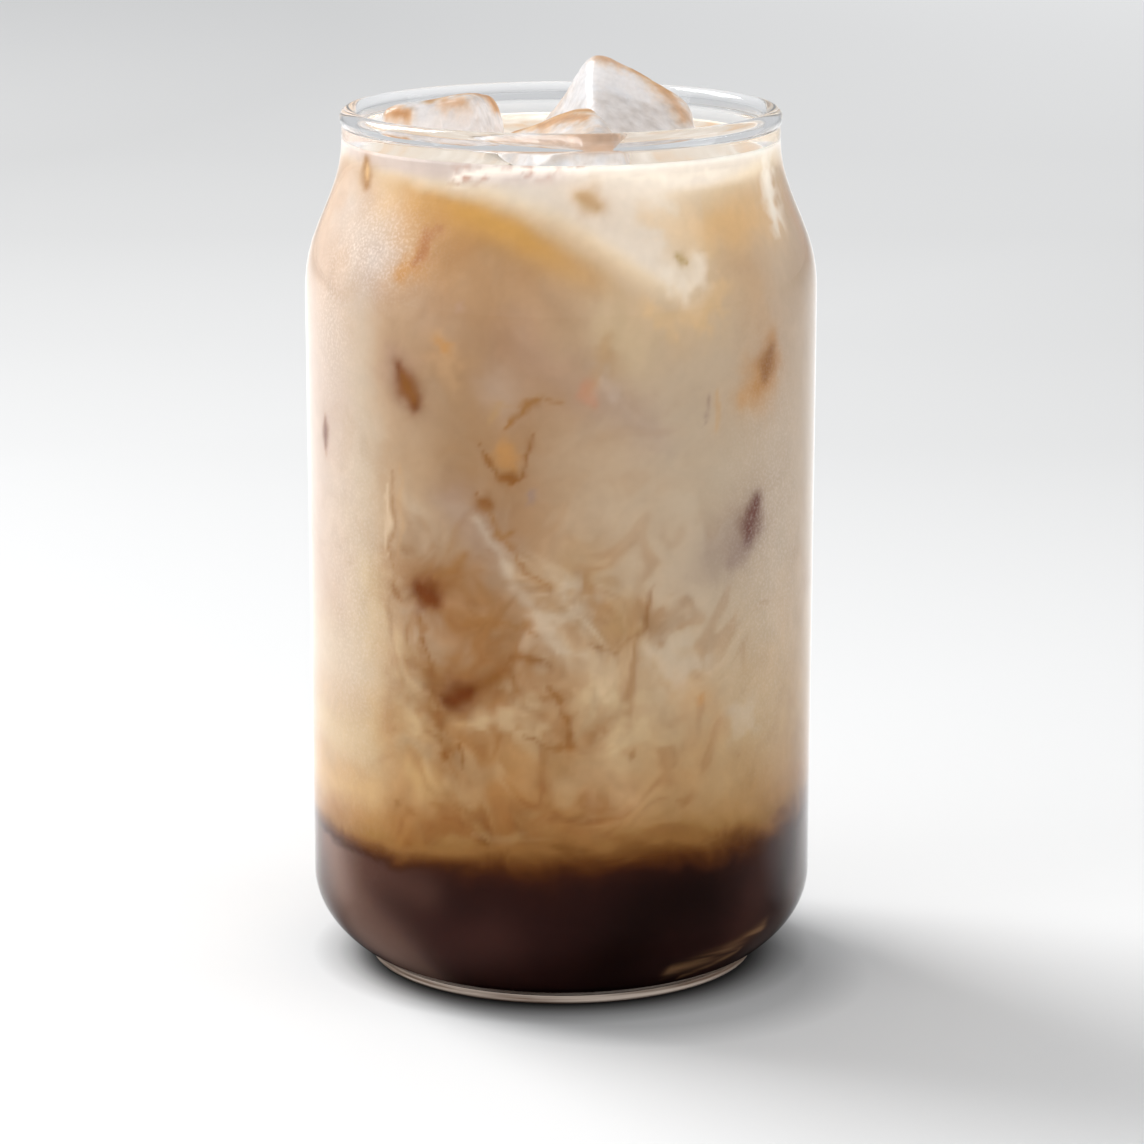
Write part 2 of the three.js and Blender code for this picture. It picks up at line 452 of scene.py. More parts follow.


# Painted refraction, where the drink's colour shows through the ice, laid straight through along the way
# set below: strength, half width, line
REFRACTION_WAY = (0, 0.9744, -0.2249)
ICE_REFRACTED_DRINK = [
    (0.6, 1.3, (5.6, 13.9, 139.3), (7.8, 14, 138.8), (9.6, 14.2, 138)),
    (0.9, 0.9, (11, 15, 137.2), (14, 15.8, 135.8), (17, 16, 133.9)),
    (0.6, 1.6, (15, 16, 134.6), (17.5, 15, 132), (19, 14, 129.5)),
    (0.4, 1, (-4.9, 20.2, 127), (-1.8, 17.7, 130.6), (0.6, 15.7, 134)),
    (0.95, 0.8, (-19.9, -0.6, 134.4), (-17, 3.3, 134.7), (-14, 5.1, 134.7), (-11.2, 9, 133.6),
     (-9.8, 9.5, 131.6)),
    (0.6, 1.5, (-17.5, -0.6, 133.6), (-15, 1.5, 133.2)),
    (0.75, 1.5, (-26, -0.7, 132.6), (-23.5, -3, 132.4)),
    (0.95, 0.6, (-10.6, -16, 130.1), (-4.6, -15.6, 132.5), (1.1, -15.4, 134.6), (4.6, -15.4, 134.4)),
    (0.75, 1.5, (-3, -15.6, 132.2), (1, -15.4, 133.4), (3.5, -15.4, 133)),
    (0.5, 2.2, (-9, -20, 129.4), (0, -22, 129.8), (9, -21, 129.6)),
]
ICE_WHITE = (236, 236, 238)
ICE_GREY = (228, 230, 234)
ICE_GREY_FROM = (0.5, 0.3)
# Colours of the painted refraction, and how ragged its edges are
REFRACTION_LIGHT = (234, 188, 116)
REFRACTION_DARK = (176, 100, 22)
REFRACTION_DARK_SHARE = 0.7
ICE_CLOUD_LENGTH = 3.2
REFRACTION_RAGGED_LENGTH = 1.1
REFRACTION_RAGGED = (0.2, 1.5)


def paint_ice(obj, seed):
    points = object_points(obj)
    cloud = Noise(seed + 50).layered(points / ICE_CLOUD_LENGTH, 4, 0.6)
    colours = np.tile(linear(*ICE_WHITE), (len(points), 1))
    colours = mixed(colours, ICE_GREY, smooth_step(cloud, *ICE_GREY_FROM))
    ragged = Noise(seed + 60).layered(points / REFRACTION_RAGGED_LENGTH, 4)
    flatten = np.eye(3) - np.outer(REFRACTION_WAY, REFRACTION_WAY)
    # The drink's painted refraction: light washes, darker at their cores
    for strength, width, *line in ICE_REFRACTED_DRINK:
        near = distance_to_line(points @ flatten, line @ flatten)[0]
        wash = bell(near, width * (REFRACTION_RAGGED[0] + REFRACTION_RAGGED[1] * ragged))
        colours = mixed(colours, REFRACTION_LIGHT, strength * wash)
        colours = mixed(colours, REFRACTION_DARK, strength * wash**3 * REFRACTION_DARK_SHARE)
    set_colours(obj, colours)


def placed_ice(name, centre, sizes, turn, seed, growth=0):
    points, faces = ice_form(sizes, turn, seed, growth)
    return mesh_object(name, kept_in_bore(melted(points + centre, centre, seed)), faces)


def make_ice(name, centre, sizes, turn, seed):
    ice = placed_ice(name + "_cube", centre, sizes, turn, seed)
    paint_ice(ice, seed)
    ice.data.materials.append(ice_material())
    return ice


def cut_for_ice(drink):
    """The drink without the room of each cube, a little tighter than the cube itself."""
    for _, *form in ICE_PIECES:
        cutter = placed_ice("cutter", *form, -ICE_TIGHTNESS)
        cut = drink.modifiers.new("cut", "BOOLEAN")
        cut.operation = "DIFFERENCE"
        cut.solver = "MANIFOLD"
        cut.object = cutter
        with bpy.context.temp_override(object=drink):
            bpy.ops.object.modifier_apply(modifier=cut.name)
        bpy.data.objects.remove(cutter)
    drink.data.materials.clear()
    return drink


# Colours of the drink

WALL_ARC = 0.646

CREAM = (216, 205, 192)
IVORY = (232, 222, 208)
BUTTER = (226, 208, 180)
BLUSH = (206, 190, 177)
PALE = (196, 182, 162)
OAT = (206, 186, 150)
SAND = (190, 156, 118)
LILAC = (160, 140, 130)
MAUVE = (172, 142, 124)
TAUPE = (142, 122, 114)
ROSE = (184, 128, 100)
HONEY = (212, 178, 130)
GINGER = (182, 134, 78)
FAWN = (170, 138, 98)
TAN = (156, 122, 84)
CARAMEL = (146, 104, 60)
AMBER = (132, 86, 40)
BURNT = (104, 54, 20)
RUST = (164, 116, 78)
PLUM = (96, 50, 42)
OLIVE = (176, 150, 104)

# The milky body of the drink round the glass: angle, colour
MILK_BY_ANGLE = [
    (-180, (184, 164, 140)), (-120, (190, 170, 148)), (-75, (184, 164, 149)),
    (-60, (189, 170, 153)), (-50, (192, 174, 152)), (-42, (186, 160, 131)), (-34, (173, 145, 114)),
    (-26, (160, 129, 96)), (-16, (154, 122, 89)), (-8, (163, 132, 101)), (2, (172, 145, 116)),
    (14, (181, 158, 132)), (24, (185, 166, 143)), (40, (188, 172, 151)), (58, (189, 172, 152)),
    (70, (180, 158, 133)), (90, (180, 158, 133)), (130, (178, 156, 132)), (180, (184, 164, 140)),
]

# What its height does to that colour, where white changes nothing
TINT_BY_HEIGHT = [
    (27, (200, 164, 106)), (30, (222, 188, 138)), (35, (238, 214, 176)), (42, (245, 230, 202)),
    (52, (252, 242, 226)), (62, (255, 252, 248)), (80, (255, 256, 257)), (100, (250, 250, 251)),
    (112, (252, 248, 244)), (120, (262, 254, 240)),
]

# The soft boundary by the distance above the coffee
LAYER_FADE = [
    (-14, (40, 18, 15)), (-8, (38, 17, 14)), (-4.4, (42, 19, 14)), (-2.4, (52, 24, 14)),
    (-0.6, (72, 37, 14)), (0.6, (92, 54, 22)), (1.8, (112, 72, 34)), (3.2, (138, 97, 52)),
    (5.5, (154, 114, 68)),
]
LAYER_FADE_TOP = 5.5
LAYER_FADE_BLEND = 3.2

# Lighter places at the coffee's left and right edges, painted light where the lamps shine through them, and
# darker places between
COFFEE_EDGE_LIGHT_AND_DARKS = [
    ((88, 58, 46), 0.8, 6, (-80, 21), (-56, 20)),
    ((84, 56, 48), 0.85, 5.5, (-72, 10), (-48, 9)),
    ((156, 126, 112), 0.46, 5, (-68, 22), (-62, 15), (-57, 10), (-50, 6.5), (-42, 4.5)),
    ((110, 82, 72), 0.4, 4, (-52, 12), (-40, 8)),
    ((92, 62, 52), 0.5, 3.6, (-48, 20), (-34, 18.6)),
    ((60, 34, 29), 0.7, 5, (-30, 9), (-16, 12)),
    ((19, 6, 4), 0.85, 7, (14, 10), (22, 17), (34, 18)),
    ((60, 34, 28), 0.8, 4.5, (48, 8), (56, 20)),
    ((140, 118, 110), 0.22, 3.4, (78, 24), (74, 15), (68, 10), (60, 6.5)),
]

# Light gathered in the heel by the thick glass: half width, then its line
HEEL_GLEAM = (176, 132, 92)
HEEL_GLEAM_LINES = [
    (0.9, (30, 6.6), (42, 7.8), (50, 8.8), (57, 10)),
    (0.4, (36, 5.2), (44, 6.2), (52, 7.6)),
]

# The lower edge of the cream that floats at the top: angle, height
CREAM_EDGE = [
    (-180, 121), (-150, 125), (-120, 123), (-90, 127), (-60, 126), (-45, 125.4), (-31, 124.2),
    (-20, 123.2), (-10, 121.4), (0, 119.4), (7, 117), (15, 113.4), (22, 110.6), (29, 109),
    (34, 110.5), (37, 116), (39, 121), (50, 123), (60, 124.5), (75, 126), (90, 126), (120, 120),
    (150, 116), (180, 121),
]

# The golden band under the cream, and how strong it is by angle
BAND_GOLD = (188, 144, 78)
BAND_STRENGTH = [
    (-180, 0.5), (-60, 0), (-45, 0.3), (-25, 0.95), (-8, 0.9), (6, 0.4), (16, 0.15), (30, 0),
    (60, 0.2), (180, 0.5),
]
BAND_DROP = 0.6
BAND_WIDTH = 3

# How softly the cream's edge fades, by angle, over a few shifted copies of the edge
CREAM_SOFTNESS = [(-60, 1.4), (-30, 1.5), (-10, 2.2), (4, 3.4), (20, 3), (34, 2), (50, 2.4)]
CREAM_SHIFTS = (-3, -1.5, 0, 1.5, 3)
CREAM_WARP = 0.3
CREAM_DEPTH = 4
CREAM_GAP = 0.8
CRUST_DIMMING = 0.15
CRUST_GREY = 0.8

# The bright line of the surface against the glass, a painted highlight, by angle
FOAM_AND_MENISCUS_SHINE = (244, 234, 224)
MENISCUS_BRIGHT = [
    (-180, 0.3), (-40, 0), (-22, 0.1), (-12, 0.6), (0, 0.4), (10, 0.8), (65, 0.8), (90, 0.3),
    (180, 0.3),
]

# The frosty crust where the front ice meets the glass: angle, height
CRUST_LINE = [(-28, 126.4), (-22, 127.2), (-14, 128), (-4, 128.4), (6, 128.6)]
CRUST_SHADE = (192, 178, 173)
CRUST_FLECKS = (1.5, 1.5, 0.8)
# Its pale and red flecks and its ridge: colour, half width, where the noise starts and is full, strength
CRUST_LAYERS = [
    (FOAM_AND_MENISCUS_SHINE, 1.5, 0.35, 0.7, 0.6),
    (ROSE, 1.5, 0.5, 0.25, 0.6),
    (FOAM_AND_MENISCUS_SHINE, 0.6, 0.35, 0.55, 0.85),
]

# Where a look starts and is full, as angles that the back mirrors, or as heights
FOLDS_FROM_LEFT = (-50, -34)
FOLDS_FROM_RIGHT = (42, 4)
FOLDS_BY_HEIGHT = (84, 58)
CREASES_FROM_RIGHT = (8, -8)
TINT_LIFT_SIDE = (-12, -34)
CREAM_GAP_SIDE = (21, 38)
CREAM_GAP_HEIGHTS = (125.5, 123.5)
CRUST_SIDE = (10, -6)
CRUST_HEIGHTS = (124.8, 127)
MENISCUS_HEIGHTS = (127.3, 128)
THIN_BOUNDARY_SIDE = (-8, -30)
HIGH_BOUNDARY_SIDE = (52, 66)

# Folds of coffee and milk: colour, where the fold starts and is full, strength
DARK_DRIFT = (CARAMEL, 0.5, 0.28, 0.75)
PALE_DRIFT = (PALE, 0.5, 0.72, 0.45)
PALE_LUMP = (PALE, 0.3, 0.75, 0.25)
FOLDS_LEAST = 0.15
FOLDS_LEAST_RIGHT = 0.4
CREASE_WIDTH = 0.13
CREASE_FROM = (0.35, 0.65)
CREASES = (0.1, 0.7)
TINT_LIFT = 3.2

# How long the folds are, how far the drift bends them, and the lumps as size and share
FIRST_LENGTH = 19
DRIFT_LENGTH = 15
DRIFT_BEND = 2.4
BROAD_LENGTHS = (12, 12, 10)
BROAD_BEND = 3.2
LUMPS = [(8, 0.5), (4, 0.3), (2, 0.2)]
LUMP_BEND = 14

# The boundary over the coffee: how far it ripples, and how its edge changes towards the sides
RIPPLE_LENGTH = 7
RIPPLE_BEND = 2
RIPPLE_HEIGHTS = (3.4, 2.2)
LUMPS_MIDDLE = 0.45
LEFT_CALM = 0.45
LEFT_LIFT = 0.5
LEFT_SHARPNESS = 0.65
RIGHT_RISE = 1.6
GRAIN_LENGTHS = (4, 4, 5)
GLEAM_LENGTHS = (10, 10, 0.7)
GLEAM_FROM = (0.3, 0.7)
GLEAM = (0.05, 0.45)
LIT_FROM = (-0.5, -3)

# Broad clouds: colour, strength, half width, then the line along it as angle, height
CLOUDS = [
    ((181, 175, 175), 0.85, 5.5, (-66, 119), (-56, 117), (-48, 113)),
    (MAUVE, 0.35, 4, (-12, 105), (-3, 101)),
    (LILAC, 0.4, 4, (6, 97), (16, 92), (20, 90)),
    (LILAC, 0.45, 3.5, (-24, 79), (-17, 75), (-12, 71)),
    (TAUPE, 0.45, 4.5, (36, 70), (46, 73)),
    (CARAMEL, 0.5, 4, (-30, 61), (-16, 59.4), (-6, 57)),
    (CARAMEL, 0.55, 3.5, (-30, 54), (-28, 46), (-25, 40)),
    (FAWN, 0.85, 5, (4, 68), (10, 63), (14, 60)),
    (FAWN, 0.6, 4, (-4, 41), (-14, 38), (-2, 33)),
    (SAND, 0.5, 5, (46, 113), (50, 105)),
    (HONEY, 0.65, 3.4, (32, 119.4), (46, 119.2), (64, 118.4)),
    (BLUSH, 0.2, 4, (-32, 108), (-28, 105)),
    (PALE, 0.4, 2.8, (-35, 75), (-32, 72)),
    (OAT, 0.45, 3.5, (-47, 66), (-46, 44)),
    (SAND, 0.5, 3, (-23, 45.5), (-20, 41)),
    (OAT, 0.5, 2.6, (-36, 38), (-32, 35)),
    (SAND, 0.55, 2.6, (-25, 64.5), (-21, 64)),
    (CARAMEL, 0.4, 2.2, (-15, 69.5), (-12, 68)),
    (OAT, 0.5, 3, (-34, 45.4), (-21, 45)),
    (CARAMEL, 0.45, 2.2, (-7, 60), (-3, 55)),
    (FAWN, 0.4, 2.5, (-6, 69), (-3, 67)),
    (GINGER, 0.5, 3, (78, 119), (80, 112)),
    (HONEY, 0.4, 6, (22, 117), (31, 108)),
    (OAT, 0.45, 4, (12, 105), (17, 102)),
    (PALE, 0.45, 3.5, (13, 110), (24, 109)),
    (SAND, 0.35, 4, (-26, 112), (-12, 110.5)),
    (BLUSH, 0.35, 3.5, (-15, 98.5), (-13, 96)),
    (SAND, 0.45, 3, (30, 52), (40, 45), (30, 38)),
]

# Light strip at the left, where the glass lights the drink from the side
LEFT_CLOUDS = [
    ((193, 176, 155), 0.8, 7, (-78, 52), (-54, 52)),
    ((194, 173, 141), 0.8, 4, (-78, 40), (-54, 40)),
    ((196, 164, 120), 0.7, 3, (-80, 32.4), (-52, 32)),
]

# Small swirls of the same form, and one painted highlight of the glass
WISPS_AND_GLASS_HIGHLIGHT = [
    # Upper swirls, and the glass's painted highlight at the right
    (IVORY, 0.8, 1.1, (11, 127), (25, 126.8), (40, 126.5), (50, 126)),
    # A painted highlight: the glass's bright upright reflection at the right, near the top
    (IVORY, 1, 3.4, (68, 131), (69, 124), (65, 117)),
    (HONEY, 0.45, 3.4, (22, 121), (29, 119), (37, 116)),
    (HONEY, 0.55, 3, (21, 108), (29, 105.6), (35, 107.2), (40, 111)),
    (IVORY, 0.65, 2.2, (24, 112.4), (30, 110.6), (34, 112.4), (34.6, 115)),
    (OLIVE, 0.85, 0.9, (28.6, 114.9), (30.4, 114.1)),
    (SAND, 0.6, 2.6, (-32, 118.5), (-36, 115), (-39, 112)),
    (GINGER, 0.7, 2, (-34, 117), (-37, 113.6), (-40, 110.6)),
    (RUST, 0.95, 1.7, (-31.5, 119.6), (-33.4, 117.6), (-35.6, 114)),
    (SAND, 0.5, 3, (-27.4, 104), (-25.6, 98)),
    (GINGER, 0.8, 1.5, (-27.2, 103), (-26.4, 101.6)),
    (MAUVE, 0.5, 1, (-24, 108.6), (-23, 108.2)),
    (FAWN, 0.55, 2, (9.8, 104), (9.5, 99.5), (6.5, 96.5)),
    (ROSE, 0.5, 1.7, (4.6, 97.6), (7.4, 94.4)),
    (BLUSH, 0.25, 1.8, (9.4, 98), (11.4, 95)),
    # Wisps of coffee in the middle
    (CARAMEL, 0.9, 0.55, (-13, 91.2), (-9.5, 92.6), (-7, 94.8), (-4, 95.4), (-0.2, 95.2)),
    (FAWN, 0.7, 0.7, (-17, 92), (-14, 94.6), (-11, 94)),
    (GINGER, 0.7, 2.2, (-13, 88.4), (-11.5, 85.4)),
    (AMBER, 0.8, 0.6, (-18.9, 88.8), (-16.5, 86), (-14.2, 83.6), (-11.5, 82.6)),
    (AMBER, 0.8, 0.6, (-6.1, 90.7), (-7.5, 86.7), (-9.2, 83.9), (-12, 83)),
    (AMBER, 0.9, 1.1, (-13, 83.6), (-10.4, 83.2)),
    (AMBER, 0.95, 1.5, (-18.8, 80.2), (-16.4, 79.6)),
    (TAUPE, 0.7, 0.9, (-7.8, 80.8), (-6.6, 80.2)),
    (CARAMEL, 0.85, 0.55, (-16.6, 78.6), (-12.6, 74.4), (-9.6, 76)),
    (CARAMEL, 0.9, 0.9, (-13, 74.6), (-9.3, 71.5), (-6.4, 68.6), (-2.6, 67)),
    (PALE, 0.45, 1.3, (-19, 77.6), (-12, 70), (-5.6, 63.4), (-0.2, 57.6), (4.5, 56.4)),
    (CARAMEL, 0.5, 0.4, (-41.3, 82.5), (-41.8, 66)),
    (SAND, 0.5, 0.4, (-38.6, 84), (-39.2, 70)),
    (BUTTER, 0.35, 0.4, (-42.9, 81), (-42.9, 70)),
    (TAUPE, 0.5, 0.4, (34.8, 94.5), (34.2, 88.6)),
    (SAND, 0.6, 0.5, (37.6, 95.5), (37.2, 89)),
    # Pale folds between the swirls
    (OAT, 0.5, 4.5, (11, 50), (14, 46), (13, 42)),
    (PALE, 0.55, 4, (3, 67), (5, 62)),
    (OAT, 0.4, 3.4, (3, 51), (6, 49)),
    (PALE, 0.6, 4.5, (22, 57), (34, 54)),
    (SAND, 0.35, 4, (3, 38), (13, 38)),
    # Brown swirls of the lower half
    (AMBER, 0.6, 0.7, (6.5, 58.4), (13, 57.4), (19.4, 60.6), (21.4, 66)),
    (FAWN, 0.8, 2.4, (10, 61), (16, 60)),
    (CARAMEL, 0.9, 2.1, (-33, 61), (-31.4, 54), (-29.4, 47), (-27.8, 40)),
    (AMBER, 0.8, 1, (-32, 58), (-30, 50), (-28.4, 42.6)),
    (OAT, 0.35, 2.6, (-39, 58), (-36.5, 50), (-35, 44)),
    (AMBER, 0.8, 0.9, (-15, 54.4), (-9.9, 56.4), (-2.8, 55.4)),
    (CARAMEL, 0.8, 1.2, (-22, 61), (-14, 62.4), (-6, 60)),
    (OAT, 0.5, 4.2, (-18, 46), (-10, 48), (-6, 44)),
    (AMBER, 0.75, 0.8, (-3, 52), (0.6, 47), (2, 43.6), (-2.6, 42.6), (-8, 44)),
    (AMBER, 0.9, 1, (-28.5, 40.8), (-27, 40)),
    (AMBER, 0.75, 0.6, (-23.4, 42.2), (-23.2, 38.2)),
    (CARAMEL, 0.8, 0.8, (-32.5, 32.6), (-28, 32)),
    (CARAMEL, 0.7, 0.9, (-42, 31.5), (-40.6, 31.1)),
    (CARAMEL, 0.75, 0.8, (-14, 33), (-6, 30.6), (4, 32)),
    (CARAMEL, 0.7, 0.8, (16, 41.2), (17, 40.8)),
    (CARAMEL, 0.7, 0.8, (43.4, 38.8), (44.4, 38.4)),
    (GINGER, 0.6, 0.9, (33.5, 48.4), (34.6, 48)),
    (SAND, 0.5, 2.2, (13, 35), (17, 34)),
    (PALE, 0.55, 3, (44, 46), (50, 43.5)),
    (TAN, 0.5, 0.9, (-20, 28.6), (-12, 27.4), (-3, 28.4)),
]

# Dark places where sunk ice touches the glass
SPOTS = [
    (TAN, 0.75, 2.9, (-62, 127), (-60.5, 123.6)),
    (CARAMEL, 0.8, 1.6, (-63, 127.4), (-60.5, 123.2)),
    (HONEY, 0.6, 0.9, (-61.6, 126.2), (-60.6, 124.6)),
    (SAND, 0.7, 2.6, (4.4, 124.2), (10.4, 122.8)),
    (FAWN, 0.85, 1.9, (5.4, 124.2), (9, 122.6)),
    (MAUVE, 0.5, 4, (-41, 100.5), (-38, 96)),
    (BURNT, 0.95, 2.6, (-38.8, 98.4), (-34.2, 92.8)),
    (AMBER, 0.8, 1.7, (-37.6, 97.4), (-34.8, 93.8)),
    (MAUVE, 0.85, 1.3, (-67.6, 88.6), (-67.6, 82.4)),
    (BURNT, 0.9, 1.1, (-67.6, 87.8), (-67.6, 83.4)),
    ((192, 146, 94), 0.7, 4.6, (55, 98), (50, 95), (45, 93.4)),
    (GINGER, 0.75, 3, (55.3, 101.7), (54.1, 97.7), (50, 94.6)),
    (AMBER, 0.85, 2.4, (55, 100), (52.6, 96)),
    (PLUM, 0.95, 2.7, (50.6, 77.4), (47, 71.6)),
    (TAUPE, 0.6, 2.4, (47, 71), (42, 68.6)),
    (AMBER, 0.6, 2.2, (-33, 66.5), (-28, 67), (-24, 69)),
    (BURNT, 0.98, 3.3, (-33.6, 65.6), (-29.6, 64.2)),
    (BURNT, 0.95, 2, (-34, 65), (-30, 64)),
    (CARAMEL, 0.7, 1.2, (-29.5, 67.6), (-25, 69), (-21.3, 71.5)),
    (AMBER, 0.7, 0.9, (-41.4, 65), (-39.2, 63.4)),
    (AMBER, 0.85, 2.2, (-26, 49.2), (-19, 51.4), (-13, 54.2)),
    (BURNT, 0.98, 3, (-27, 48.8), (-20.6, 50.6)),
]

# The front and the back carry the same strokes: turn, side, lift and least half width. Those of the
# back are mirrored and lower, and none of them is finer than its mesh.
STROKE_TURNS = [((0, 1, 0), 0), ((180, -1, -3), 0.85)]
STROKE_ENDS = 0.45
SMOKE_SHARE = 0.2
SMOKE_REACH = 1.5


def ramp(values, stops):
    """A colour between named stops, mixed in linear light."""
    places = [stop[0] for stop in stops]
    colours = [linear(*stop[1]) for stop in stops]
    parts = [np.interp(values, places, [colour[i] for colour in colours]) for i in range(3)]
    return np.column_stack(parts)


def mixed(colours, colour, share):
    return colours + (linear(*colour) - colours) * share[:, None]


def distance_to_line(points, line):
    """How far each point is from a line, and how far along it the nearest place is, from 0 to 1."""
    line = np.array(line, float)
    runs = np.diff(line, axis=0)
    lengths = np.linalg.norm(runs, axis=1)
    best = np.full(len(points), np.inf)
    along = np.zeros(len(points))
    for start, run, length, before in zip(line, runs, lengths, np.cumsum(lengths) - lengths):
        away = points - start
        share = np.clip(away @ run / length**2, 0, 1)
        distance = np.linalg.norm(away - share[:, None] * run, axis=1)
        along = np.where(distance < best, (before + share * length) / lengths.sum(), along)
        best = np.minimum(best, distance)
    return best, along


def distance_on_wall(places, line, turn=0, side=1, lift=0):
    """The same over the wall, to a line of angle and height that may be turned, mirrored and lifted."""
    angles = (side * (places[0] - turn) + 180) % 360 - 180
    scale = [WALL_ARC, 1]
    return distance_to_line(np.column_stack([angles, places[1]]) * scale, np.add(line, [0, lift]) * scale)


# Random bends of the strokes: over what length, how far, and the share that the small strokes take
WARP = [(9, 2, 0.25), (3.4, 1, 0.8), (1.4, 0.5, 1)]
SPOT_WARP = 0.3
PATCHES = (0.35, 0.85)
SPOT_PATCHES = (0.75, 0.25)

# What the light gives back of a painted colour, the brightest colour, and how deep the wall's colours go
LIGHT_SHARE = 0.9
BRIGHTEST = 0.92
GRAIN = (0.12, 0.3)
GRAIN_BEND = 3
GRAIN_FADE = 0.6
PATCH_FROM = (0.25, 0.65)
SKIN_DEPTHS = (0.15, 0.5)
HEEL_FADE = 1

# Where mist lies on the glass: strength, then the middle and the spread as angle, height
MIST = [
    (0.5, (-52, 115), (15, 6)),
    (0.4, (-64, 104), (8, 12)),
    (0.25, (56, 70), (14, 26)),
    (0.25, (-56, 62), (12, 24)),
]


def stroked(colours, places, strokes, patchy):
    """Soft strokes that thin towards their ends, and also where patchy is small."""
    for colour, strength, width, *line in strokes:
        for placing, finest in STROKE_TURNS:
            near, along = distance_on_wall(places, line, *placing)
            thinning = at_least(STROKE_ENDS, np.sin(np.pi * along))
            core = bell(near, np.maximum(finest, width * patchy * thinning)) * patchy**0.5
            smoke = np.exp(-near / (width * SMOKE_REACH))
            colours = mixed(colours, colour, strength * ((1 - SMOKE_SHARE) * core + SMOKE_SHARE * smoke))
    return colours


def clouded(colours, places, clouds):
    for colour, strength, width, *line in clouds:
        for placing, _ in STROKE_TURNS:
            near = distance_on_wall(places, line, *placing)[0]
            colours = mixed(colours, colour, strength * bell(near, width))
    return colours


class Wall:
    """The drink's points as places on the glass, and the random bends of its swirls."""

    def __init__(self, points):
        self.points = points
        self.noises = [Noise(seed) for seed in (31, 32, 33)]
        angles = np.degrees(np.arctan2(points[:, 0], -points[:, 1]))
        self.places = np.array([angles, points[:, 2]])
        self.angles, self.heights = self.places
        mirrored = np.sign(angles) * (180 - np.abs(angles))
        self.facing = np.where(np.abs(angles) > 90, mirrored, angles)
        self.bend()
        self.fold()
        patches = smooth_step(self.noise(2, 2, 3, 2), *PATCH_FROM)
        self.patchy = PATCHES[0] + PATCHES[1] * patches

    def noise(self, which, length, shift, layers=4, fade=0.5):
        return self.noises[which].layered(self.points / length + shift, layers, fade)

    def side(self, window):
        return smooth_step(self.facing, *window)

    def bend(self):
        """The places bent at random: all the way for clouds, and less for fine strokes and spots."""
        self.bent = self.places.copy()
        self.fine = self.places.copy()
        for length, amount, fine_share in WARP:
            across = (self.noise(0, length, 11, 2) - 0.5) * 2 * amount / WALL_ARC
            up = (self.noise(1, length, 23, 2) - 0.5) * 2 * amount
            self.bent += [across, up]
            self.fine += np.array([across, up]) * fine_share
        self.spot = self.places + (self.fine - self.places) * SPOT_WARP

    def fold(self):
        """Two values that fold over themselves as coffee does in milk, and how much they show."""
        first = self.drift_over(self.points / FIRST_LENGTH)
        self.drift = self.drift_over(self.points / DRIFT_LENGTH + first * DRIFT_BEND + 5)
        self.broad = self.noise(0, BROAD_LENGTHS, self.drift * BROAD_BEND, 3)
        self.lumps = np.zeros(len(self.points))
        for size, weight in LUMPS:
            bent = self.points / size + self.drift * LUMP_BEND / size + size
            self.lumps += weight * np.abs(self.noises[1].plain(bent) * 2 - 1)
        low_left = smooth_step(self.heights, *FOLDS_BY_HEIGHT) * self.side(FOLDS_FROM_LEFT)
        from_right = at_least(FOLDS_LEAST_RIGHT, self.side(FOLDS_FROM_RIGHT))
        self.depth = at_least(FOLDS_LEAST, low_left) * from_right

    def drift_over(self, points):
        return np.column_stack([noise.layered(points, 2) for noise in self.noises]) - 0.5


def milk_colours(wall):
    """The milky body round the glass, with broad drifts, lumps and brown creases between them."""
    colours = clouded(ramp(wall.bent[0], MILK_BY_ANGLE), wall.bent, CLOUDS)
    folds = [(wall.broad, DARK_DRIFT), (wall.broad, PALE_DRIFT), (wall.lumps, PALE_LUMP)]
    for values, (colour, start, full, strength) in folds:
        colours = mixed(colours, colour, smooth_step(values, start, full) * wall.depth * strength)
    crease = np.exp(-wall.lumps / CREASE_WIDTH) * smooth_step(wall.noise(2, 9, 60, 2), *CREASE_FROM)
    crease *= wall.depth * (CREASES[0] + CREASES[1] * wall.side(CREASES_FROM_RIGHT))
    colours = mixed(colours, AMBER, crease)
    colours *= ramp(wall.bent[1] + TINT_LIFT * wall.side(TINT_LIFT_SIDE), TINT_BY_HEIGHT)
    return clouded(colours, wall.bent, LEFT_CLOUDS)


def add_cream(colours, wall):
    """The cream at the top, over a golden band, and greyer where the crust lies over it."""
    lifted = wall.heights + (wall.bent[1] - wall.heights) * CREAM_WARP
    above = lifted - curve(wall.angles, CREAM_EDGE)
    soft = curve(wall.facing, CREAM_SOFTNESS)
    band = bell(above + soft + BAND_DROP, BAND_WIDTH)
    colours = mixed(colours, BAND_GOLD, band * curve(wall.angles, BAND_STRENGTH))
    edge = np.zeros(len(wall.points))
    for shift in CREAM_SHIFTS:
        edge += smooth_step(lifted - curve(wall.angles + shift, CREAM_EDGE), -soft, soft)
    edge /= len(CREAM_SHIFTS)
    edge *= 1 - CREAM_GAP * wall.side(CREAM_GAP_SIDE) * smooth_step(wall.heights, *CREAM_GAP_HEIGHTS)
    colours = mixed(colours, BUTTER, edge)
    colours = mixed(colours, CREAM, edge * smooth_step(above, 0, CREAM_DEPTH))
    shaded = edge * wall.side(CRUST_SIDE)
    colours *= (1 - CRUST_DIMMING * shaded)[:, None]
    return mixed(colours, CRUST_SHADE, shaded * smooth_step(wall.heights, *CRUST_HEIGHTS) * CRUST_GREY)


